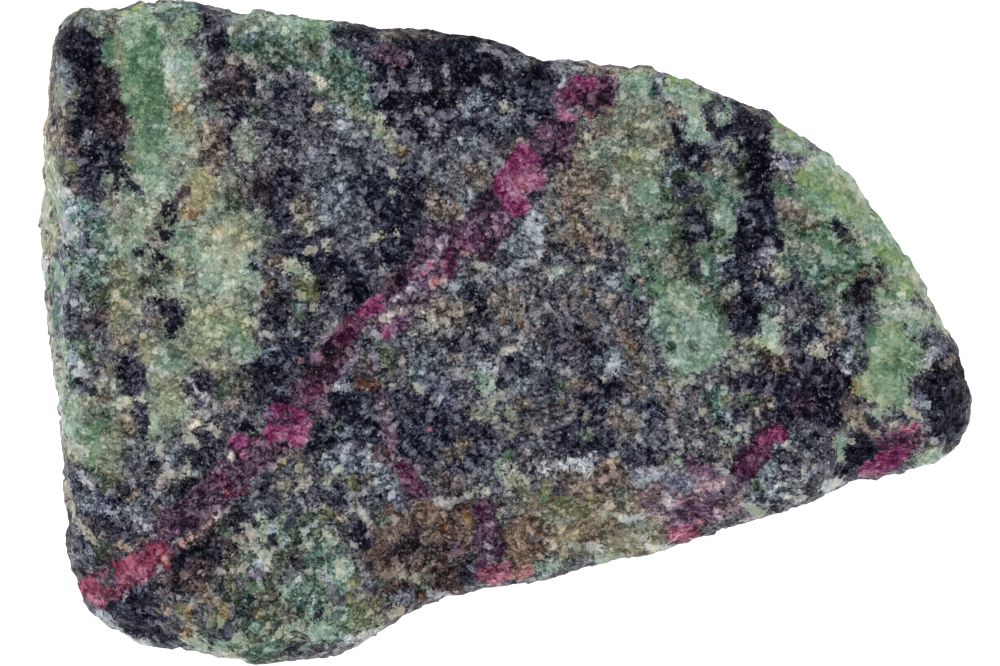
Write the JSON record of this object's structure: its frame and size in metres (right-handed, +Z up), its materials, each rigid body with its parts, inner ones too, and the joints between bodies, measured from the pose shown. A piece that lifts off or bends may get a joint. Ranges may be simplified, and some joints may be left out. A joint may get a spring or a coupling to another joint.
{
  "type": "ruby in zoisite stone",
  "caption": "Rough slab of rock: green zoisite and black amphibole crossed by a band of ruby, with a broken lower edge and a narrow tip, lying on its back.",
  "frame": {"origin": "bottom centre of the stone's box, on the surface it lies on", "axes": "+X along the length towards the narrow tip, +Y across it towards the long upper edge, +Z up out of the main face"},
  "size_m": [0.0748, 0.0532, 0.0163],
  "materials": {
    "ruby_in_zoisite": "rough broken rock, fine granular, dull with small sparkles"
  },
  "bodies": {
    "root": {"stone": "ruby_in_zoisite"}
  },
  "joints": []
}
